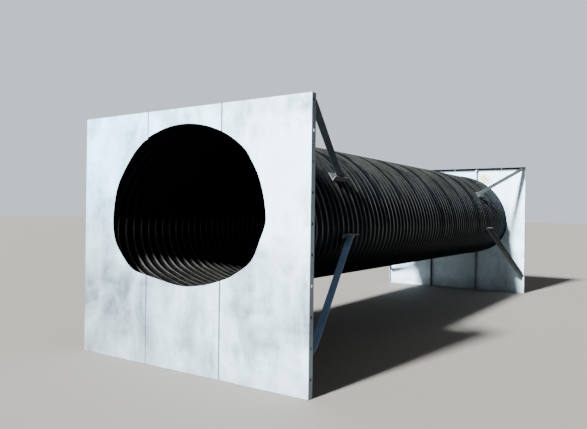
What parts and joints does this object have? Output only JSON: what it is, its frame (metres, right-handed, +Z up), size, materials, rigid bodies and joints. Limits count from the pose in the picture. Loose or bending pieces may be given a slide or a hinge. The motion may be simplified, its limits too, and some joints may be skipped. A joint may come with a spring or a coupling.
{
  "type": "culvert headwall",
  "caption": "Folded sheet-steel headwalls with an arch opening at the ends of a dark corrugated pipe, held square by diagonal steel angles.",
  "frame": {"origin": "middle of the base, between the two headwalls", "axes": "+Y along the pipe from the near headwall to the far one, +X across the headwall, +Z up"},
  "size_m": [3.435, 9.69, 2.997],
  "materials": {
    "galvanized_sheet": "matt spangled zinc, lightly streaked",
    "galvanized_angle": "dull zinc",
    "coated_pipe": "satin black coating, dusty on top",
    "zinc_bolt": "zinc plated"
  },
  "bodies": {
    "root": {"pipe": "coated_pipe", "near_panel_left": "galvanized_sheet", "near_panel_right": "galvanized_sheet", "near_panel_over": "galvanized_sheet", "near_panel_under": "galvanized_sheet", "near_right_upper_brace": "galvanized_angle", "near_right_lower_brace": "galvanized_angle", "near_right_upper_tab": "galvanized_angle", "near_right_lower_tab": "galvanized_angle", "near_right_upper_clip": "galvanized_angle", "near_right_lower_clip": "galvanized_angle", "near_left_upper_brace": "galvanized_angle", "near_left_lower_brace": "galvanized_angle", "near_left_upper_tab": "galvanized_angle", "near_left_lower_tab": "galvanized_angle", "near_left_upper_clip": "galvanized_angle", "near_left_lower_clip": "galvanized_angle", "far_panel_left": "galvanized_sheet", "far_panel_right": "galvanized_sheet", "far_panel_over": "galvanized_sheet", "far_panel_under": "galvanized_sheet", "far_right_upper_brace": "galvanized_angle", "far_right_lower_brace": "galvanized_angle", "far_right_upper_tab": "galvanized_angle", "far_right_lower_tab": "galvanized_angle", "far_right_upper_clip": "galvanized_angle", "far_right_lower_clip": "galvanized_angle", "far_left_upper_brace": "galvanized_angle", "far_left_lower_brace": "galvanized_angle", "far_left_upper_tab": "galvanized_angle", "far_left_lower_tab": "galvanized_angle", "far_left_upper_clip": "galvanized_angle", "far_left_lower_clip": "galvanized_angle"}
  },
  "joints": []
}
